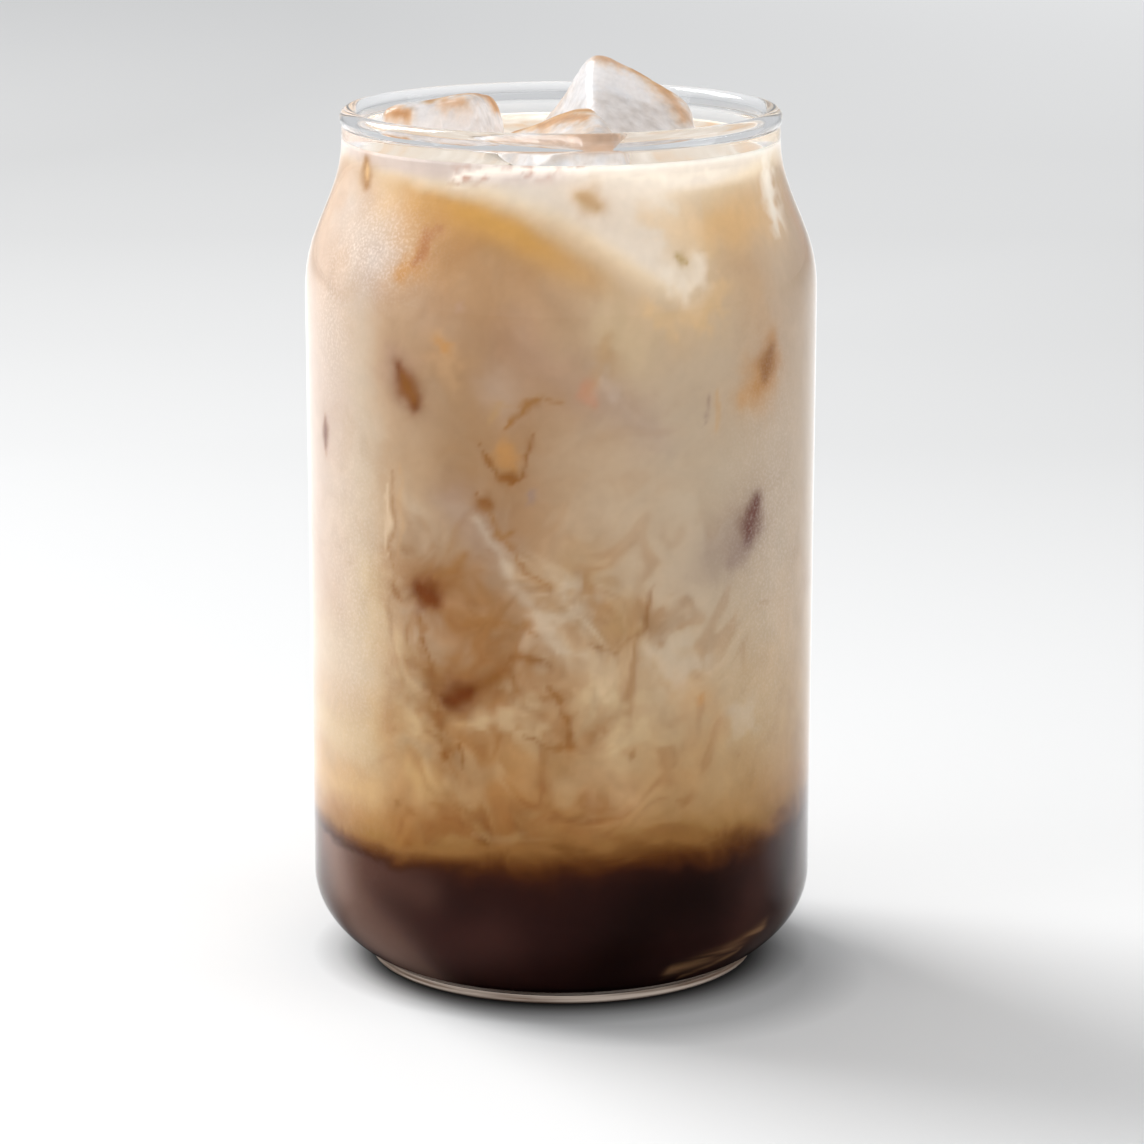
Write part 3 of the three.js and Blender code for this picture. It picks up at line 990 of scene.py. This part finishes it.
def add_crust(colours, wall):
    """The painted highlight of the meniscus, and the frosty crust with its ridge and flecks."""
    # The meniscus line, a painted highlight
    bright = smooth_step(wall.heights, *MENISCUS_HEIGHTS) * curve(wall.angles, MENISCUS_BRIGHT)
    colours = mixed(colours, FOAM_AND_MENISCUS_SHINE, bright)
    near = distance_on_wall(wall.places, CRUST_LINE)[0]
    flecks = wall.noise(2, CRUST_FLECKS, 70, 3)
    for colour, width, start, full, strength in CRUST_LAYERS:
        colours = mixed(colours, colour, bell(near, width) * smooth_step(flecks, start, full) * strength)
    return colours


def add_coffee(colours, wall):
    """The coffee with its painted edge light, darker places and heel gleam, and the soft, rippled boundary
    over it.
    """
    boundary = layer_height(wall.points[:, 0], wall.points[:, 1])
    left = wall.side(THIN_BOUNDARY_SIDE)
    ripples = (wall.noise(0, RIPPLE_LENGTH, wall.drift * RIPPLE_BEND) - 0.5) * RIPPLE_HEIGHTS[0]
    ripples += (wall.lumps - LUMPS_MIDDLE) * RIPPLE_HEIGHTS[1]
    boundary += ripples * (1 - LEFT_CALM * left) + RIGHT_RISE * wall.side(HIGH_BOUNDARY_SIDE)
    over = (wall.heights - boundary + LEFT_LIFT * left) * (1 + LEFT_SHARPNESS * left)
    fade = ramp(over, LAYER_FADE)
    # Painted light at the coffee's edges, and darker places
    coffee = clouded(fade, wall.places, COFFEE_EDGE_LIGHT_AND_DARKS)
    ragged = smooth_step(wall.noise(2, GLEAM_LENGTHS, 90, 3), *GLEAM_FROM)
    for width, *line in HEEL_GLEAM_LINES:
        gleam = bell(distance_on_wall(wall.places, line)[0], width)
        coffee = mixed(coffee, HEEL_GLEAM, gleam * (GLEAM[0] + GLEAM[1] * ragged))
    lit = smooth_step(over, *LIT_FROM)[:, None]
    below = smooth_step(over, LAYER_FADE_TOP, LAYER_FADE_TOP - LAYER_FADE_BLEND)[:, None]
    return colours * (1 - below) + (fade * (1 - lit) + coffee * lit) * below


def wall_colours(points):
    """The colour of the drink against the glass, from its height, its clouds and its strokes."""
    wall = Wall(points)
    colours = add_cream(milk_colours(wall), wall)
    # These strokes hold one painted highlight of the glass
    colours = stroked(colours, wall.fine, WISPS_AND_GLASS_HIGHLIGHT, wall.patchy)
    colours = stroked(colours, wall.spot, SPOTS, SPOT_PATCHES[0] + SPOT_PATCHES[1] * wall.patchy)
    colours = add_crust(colours, wall)
    grain = wall.noise(1, GRAIN_LENGTHS, wall.drift * GRAIN_BEND, 4, GRAIN_FADE) - 0.5
    colours *= (1 + grain * (GRAIN[0] + GRAIN[1] * wall.depth))[:, None]
    return add_coffee(colours, wall)


# The open surface and the hollows that the ice sits in: height, colour
INNER_BY_HEIGHT = [
    (108, PALE), (118, PALE), (126, (188, 175, 160)), (128.5, (187, 177, 165)),
]
INNER_TAN = (186, 152, 116)
INNER_PALE = (206, 199, 190)
INNER_DRIFT_LENGTH = 6
INNER_CLOUD_LENGTH = 4
INNER_BEND = 2
INNER_TAN_FROM = (0.48, 0.72)
INNER_PALE_FROM = (0.45, 0.3)
INNER_CHANGE = 0.6


def inner_colours(points):
    noises = [Noise(seed) for seed in (41, 42)]
    drift = noises[0].layered(points / INNER_DRIFT_LENGTH, 3)[:, None]
    cloud = noises[1].layered(points / INNER_CLOUD_LENGTH + drift * INNER_BEND, 4)
    colours = ramp(points[:, 2], INNER_BY_HEIGHT)
    colours = mixed(colours, INNER_TAN, smooth_step(cloud, *INNER_TAN_FROM) * INNER_CHANGE)
    return mixed(colours, INNER_PALE, smooth_step(cloud, *INNER_PALE_FROM) * INNER_CHANGE)


def mist_over(angles, heights):
    mist = np.zeros(len(angles))
    for strength, (angle, height), (wide, tall) in MIST:
        reach = ((angles - angle) / wide) ** 2 + ((heights - height) / tall) ** 2
        mist = np.maximum(mist, strength * np.exp(-reach))
    return mist


def painted_drink(obj, name):
    points = object_points(obj)
    x, y, z = points.T
    heel = smooth_step(z, HEEL_HEIGHT + HEEL_FADE, HEEL_HEIGHT)
    inside = smooth_step(drink_radius(z) - np.hypot(x, y), *SKIN_DEPTHS) * (1 - heel)
    inside *= z > SHOULDER_LOW
    colours = wall_colours(points) * (1 - inside[:, None]) + inner_colours(points) * inside[:, None]
    set_colours(obj, np.clip(colours / LIGHT_SHARE, 0, BRIGHTEST))
    mist = mist_over(np.degrees(np.arctan2(x, -y)), z)
    obj.data.attributes.new("mist", "FLOAT", "POINT").data.foreach_set("value", mist)
    obj.data.materials.append(drink_material(name))
    return obj


# Materials

CLEAR_SHADOW = (0.96, 0.965, 0.965, 1)
ICE_SHADOW = (0.85, 0.85, 0.86, 1)
# The foot's painted glow, in streaks from dark to pale, and its painted contact shade at the very bottom
FOOT_GLOW_DARK = (128, 104, 88)
FOOT_GLOW_PALE = (216, 200, 186)
FOOT_CONTACT_SHADE = (52, 34, 26)
FOOT_CONTACT_SHADE_HEIGHTS = (0.0002, 0.0007)
FOOT_STREAKS = (1, 1, 26)
FOOT_GLOW_TINTS = [(0.36, linear(*FOOT_GLOW_DARK)), (0.6, linear(*FOOT_GLOW_PALE))]
# Noises, each by its scale and detail, and what their values from low to high become
FOOT_NOISE = (45, 4)
ICE_NOISE = (420, 5)
ICE_CLOUDING = (0.35, 0.65, 0.58, 0.84)
GRAIN_NOISE = (700, 3)
GRAIN_CHANGE = (0.3, 0.7, 0.98, 1.02)
FLECK_NOISE = (2300, 2)
FLECK_SHARE = (0.45, 0.8)
MIST_WHITE = (246, 236, 226)


def set_inputs(node, inputs):
    """Gives each input its value, or a link where the value is another node's output."""
    for name, value in inputs.items():
        if isinstance(value, bpy.types.NodeSocket):
            node.id_data.links.new(value, node.inputs[name])
        else:
            node.inputs[name].default_value = value
    return node


def add_node(tree, kind, inputs=None, **settings):
    node = tree.nodes.new("ShaderNode" + kind)
    for name, value in settings.items():
        setattr(node, name, value)
    return set_inputs(node, inputs or {})


def new_material(name):
    material = bpy.data.materials.new(name)
    material.use_nodes = True
    return material, material.node_tree, material.node_tree.nodes["Principled BSDF"]


def object_place(tree):
    return add_node(tree, "TexCoord").outputs["Object"]


def painted(tree):
    return add_node(tree, "VertexColor", layer_name="swirl").outputs["Color"]


def noise_over(tree, place, scale, detail):
    return add_node(tree, "TexNoise", {"Vector": place, "Scale": scale, "Detail": detail}).outputs["Fac"]


def remapped(tree, value, low, high, to_low=0, to_high=1, **settings):
    ends = {"Value": value, "From Min": low, "From Max": high, "To Min": to_low, "To Max": to_high}
    return add_node(tree, "MapRange", ends, **settings).outputs["Result"]


def part_of(tree, vector, axis):
    return add_node(tree, "SeparateXYZ", {0: vector}).outputs[axis]


def picked(tree, share, first, second):
    """The first colour where the share is 0, and the second where it is 1."""
    inputs = {"Factor": share, "A": first, "B": second}
    return add_node(tree, "Mix", inputs, data_type="RGBA").outputs["Result"]


def ramped(tree, value, stops, span=1):
    """A colour ramp of stops, each a place and a linear colour or grey."""
    node = add_node(tree, "ValToRGB", {"Fac": value})
    elements = node.color_ramp.elements
    while len(elements) < len(stops):
        elements.new(0.5)
    for element, (place, colour) in zip(elements, stops):
        element.position = place / span
        element.color = (*np.full(3, colour, float), 1)
    return node.outputs["Color"]


def shaders_mixed(tree, share, first, second):
    return add_node(tree, "MixShader", {"Fac": share, 1: first.outputs[0], 2: second.outputs[0]})


def let_light_through(tree, shader, clearness):
    """Shadows pass through a clear piece, so that what it holds is lit."""
    shadow = add_node(tree, "LightPath").outputs["Is Shadow Ray"]
    clear = add_node(tree, "BsdfTransparent", {"Color": clearness})
    mix = shaders_mixed(tree, shadow, shader, clear)
    set_inputs(tree.nodes["Material Output"], {"Surface": mix.outputs[0]})


def glass_material(name, bending, tint):
    material, tree, shader = new_material(name)
    set_inputs(shader, {"Base Color": (*tint, 1), "Roughness": 0, "IOR": bending, "Transmission Weight": 1})
    let_light_through(tree, shader, CLEAR_SHADOW)
    return material


def painted_foot_glow_material():
    """The lowest edge of the glass, with a painted glow of light gathered from all round, and painted shade
    at the table.
    """
    material, tree, shader = new_material("glass_foot_painted_glow")
    place = object_place(tree)
    stretched = add_node(tree, "Mapping", {"Vector": place, "Scale": FOOT_STREAKS}).outputs["Vector"]
    # Painted glow in streaks, giving way to painted contact shade at the very bottom
    tint = ramped(tree, noise_over(tree, stretched, *FOOT_NOISE), FOOT_GLOW_TINTS)
    height = remapped(tree, part_of(tree, place, "Z"), *FOOT_CONTACT_SHADE_HEIGHTS)
    shade = picked(tree, height, (*linear(*FOOT_CONTACT_SHADE), 1), tint)
    set_inputs(shader, {"Base Color": shade, "Roughness": 0.3, "IOR": 1.5})
    return material


def ice_material():
    """Clear ice, clouded white inside, with the drink's painted refraction that its mesh carries as colour.
    """
    material, tree, shader = new_material("ice")
    wash = painted(tree)
    set_inputs(shader, {"Base Color": wash, "Roughness": 0.03, "IOR": 1.31, "Transmission Weight": 1})
    clouds = noise_over(tree, object_place(tree), *ICE_NOISE)
    amount = remapped(tree, clouds, *ICE_CLOUDING)
    frost = add_node(tree, "BsdfPrincipled", {"Base Color": wash, "Roughness": 0.35})
    glow = add_node(tree, "BsdfTranslucent", {"Color": wash})
    cloudy = shaders_mixed(tree, 0.35, frost, glow)
    let_light_through(tree, shaders_mixed(tree, amount, shader, cloudy), ICE_SHADOW)
    return material


def drink_material(name):
    """The drink's painted colour with a fine grain, and pale flecks where mist lies on the glass."""
    material, tree, shader = new_material(name)
    place = object_place(tree)
    grain = remapped(tree, noise_over(tree, place, *GRAIN_NOISE), *GRAIN_CHANGE)
    inputs = {0: painted(tree), "Scale": grain}
    grained = add_node(tree, "VectorMath", inputs, operation="SCALE").outputs[0]
    flecks = remapped(tree, noise_over(tree, place, *FLECK_NOISE), *FLECK_SHARE)
    mist = add_node(tree, "Attribute", attribute_name="mist").outputs["Fac"]
    amount = add_node(tree, "Math", {0: flecks, 1: mist}, operation="MULTIPLY").outputs[0]
    misty = picked(tree, amount, grained, (*linear(*MIST_WHITE), 1))
    set_inputs(shader, {"Base Color": misty, "Roughness": 0.35, "Specular IOR Level": 0})
    return material


# The stage

# How bright the floor looks by its distance behind the glass, in metres
FLOOR_BY_DISTANCE = [
    (0, 0.69), (0.2, 0.6), (0.4, 0.52), (0.55, 0.51), (0.75, 0.53), (0.95, 0.6), (1.25, 0.75),
    (1.5, 0.87), (4, 0.92),
]
# How much light stays by the foot, and in the pool of shade before it: distance in metres, share
FOOT_SHADE = [
    (0, 0.08), (0.0299, 0.08), (0.0313, 0.22), (0.0333, 0.5), (0.0355, 0.75), (0.0395, 1),
    (0.08, 1),
]
POOL_PLACE = (0.012, -0.014, 0)
POOL_SHADE = [(0, 0.7), (0.026, 0.7), (0.036, 1), (0.08, 1)]
# How much darker the floor is far away to the left: distance in metres, share
FAR_LEFT_PLACE = (-0.9, 1.3, 0)
FAR_LEFT_SHADE = [(0, 0.78), (0.8, 0.78), (0.95, 0.86), (1.1, 0.95), (1.2, 1)]
# How bright it looks in the glass's reflections, by the way it lies: 0 is in front, 1 is behind
FLOOR_IN_GLOSS = [(0, 0.05), (0.45, 0.12), (0.62, 0.5), (1, 0.9)]

FLOOR_CORNERS = [(-4000, -3000, 0), (4000, -3000, 0), (4000, 6000, 0), (-4000, 6000, 0)]
FLOOR_SHADES = [((0, 0, 0), FOOT_SHADE), (POOL_PLACE, POOL_SHADE), (FAR_LEFT_PLACE, FAR_LEFT_SHADE)]

SKY = (0.97, 0.985, 1, 1)
WORLD_BRIGHT = 0.66
WORLD_IN_GLOSS = 0.25
WORLD_BEHIND = (0.1, 0.7)

# Soft lights, in metres and watts: name, place, aim, width, height, power, and whether gloss shows them
LIGHTS = [
    ("key", (-0.72, 0.58, 0.95), (0, 0, 0.06), 0.64, 0.64, 18, True),
    ("window", (-1.4, -0.9, 0.5), (0, 0, 0.08), 1.2, 0.9, 9, False),
    ("fill", (0.7, -1.7, 0.5), (0, 0, 0.08), 1.4, 0.9, 8, False),
    ("side", (1.5, -0.35, 0.6), (0, 0, 0.08), 1, 0.9, 6, False),
]


def mirror_share(tree):
    """1 for a ray that bounced off a shiny face, and 0 for one that came through glass."""
    path = add_node(tree, "LightPath").outputs
    rays = {0: path["Is Glossy Ray"], 1: path["Is Transmission Ray"]}
    return add_node(tree, "Math", rays, operation="SUBTRACT", use_clamp=True).outputs[0]


def ramp_over(tree, value, stops):
    """A ramp of greys by stops that are in metres."""
    span = stops[-1][0]
    return ramped(tree, remapped(tree, value, 0, span), stops, span)


def shaded_by_distance(tree, position, middle, stops, colour):
    """The colour dimmed by a ramp over the distance from a place on the floor."""
    ends = {0: position, 1: middle}
    away = add_node(tree, "VectorMath", ends, operation="DISTANCE").outputs["Value"]
    colours = {0: colour, 1: ramp_over(tree, away, stops)}
    return add_node(tree, "VectorMath", colours, operation="MULTIPLY").outputs[0]


def make_floor():
    floor = mesh_object("floor", FLOOR_CORNERS, [(0, 1, 2, 3)])
    material, tree, shader = new_material("floor_white")
    position = add_node(tree, "NewGeometry").outputs["Position"]
    seen = ramp_over(tree, part_of(tree, position, "Y"), FLOOR_BY_DISTANCE)
    way = add_node(tree, "VectorMath", {0: position}, operation="NORMALIZE").outputs[0]
    mirrored = ramped(tree, remapped(tree, part_of(tree, way, "Y"), -1, 1), FLOOR_IN_GLOSS)
    colour = picked(tree, mirror_share(tree), seen, mirrored)
    for middle, stops in FLOOR_SHADES:
        colour = shaded_by_distance(tree, position, middle, stops, colour)
    set_inputs(shader, {"Base Color": colour, "Roughness": 0.9, "Specular IOR Level": 0})
    floor.data.materials.append(material)


def make_world():
    world = bpy.data.worlds.new("soft_studio")
    world.use_nodes = True
    tree = world.node_tree
    behind = part_of(tree, add_node(tree, "TexCoord").outputs["Generated"], "Y")
    ends = (*WORLD_BEHIND, WORLD_IN_GLOSS, WORLD_BRIGHT)
    in_gloss = remapped(tree, behind, *ends, interpolation_type="SMOOTHSTEP")
    strength = remapped(tree, mirror_share(tree), 0, 1, WORLD_BRIGHT, in_gloss)
    set_inputs(tree.nodes["Background"], {"Color": SKY, "Strength": strength})
    bpy.context.scene.world = world


def make_lights():
    for name, place, aim, width, height, power, in_gloss in LIGHTS:
        data = bpy.data.lights.new(name, "AREA")
        data.shape = "RECTANGLE"
        data.size, data.size_y = width, height
        data.energy = power
        light = link(bpy.data.objects.new(name, data))
        light.location = place
        light.rotation_euler = (Vector(aim) - Vector(place)).to_track_quat("-Z", "Y").to_euler()
        light.visible_glossy = in_gloss
    bpy.context.scene.view_settings.view_transform = "Standard"


def make_camera():
    data = bpy.data.cameras.new("camera")
    data.angle = math.radians(CAMERA_VIEW)
    camera = link(bpy.data.objects.new("camera", data))
    camera.location = Vector(CAMERA_PLACE) * MM
    camera.rotation_euler = (math.radians(90 - CAMERA_TILT), 0, 0)
    bpy.context.scene.camera = camera


# Building


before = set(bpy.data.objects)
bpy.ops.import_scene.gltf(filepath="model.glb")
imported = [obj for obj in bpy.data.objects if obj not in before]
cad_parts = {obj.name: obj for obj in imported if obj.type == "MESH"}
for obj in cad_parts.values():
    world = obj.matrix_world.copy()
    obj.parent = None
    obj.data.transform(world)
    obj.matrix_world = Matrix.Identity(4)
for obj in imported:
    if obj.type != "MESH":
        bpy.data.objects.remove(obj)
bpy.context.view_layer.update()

make_camera()
make_world()
make_lights()
make_floor()

glass = make_glass()
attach(glass, "root")
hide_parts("glass")

coffee = painted_drink(make_coffee(), "coffee")
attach(coffee, "root")
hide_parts("coffee_layer")

horchata = painted_drink(cut_for_ice(make_horchata()), "horchata")
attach(horchata, "root")
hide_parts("horchata")

for name, *form in ICE_PIECES:
    ice = make_ice(name, *form)
    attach(ice, "root")
    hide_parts(name)
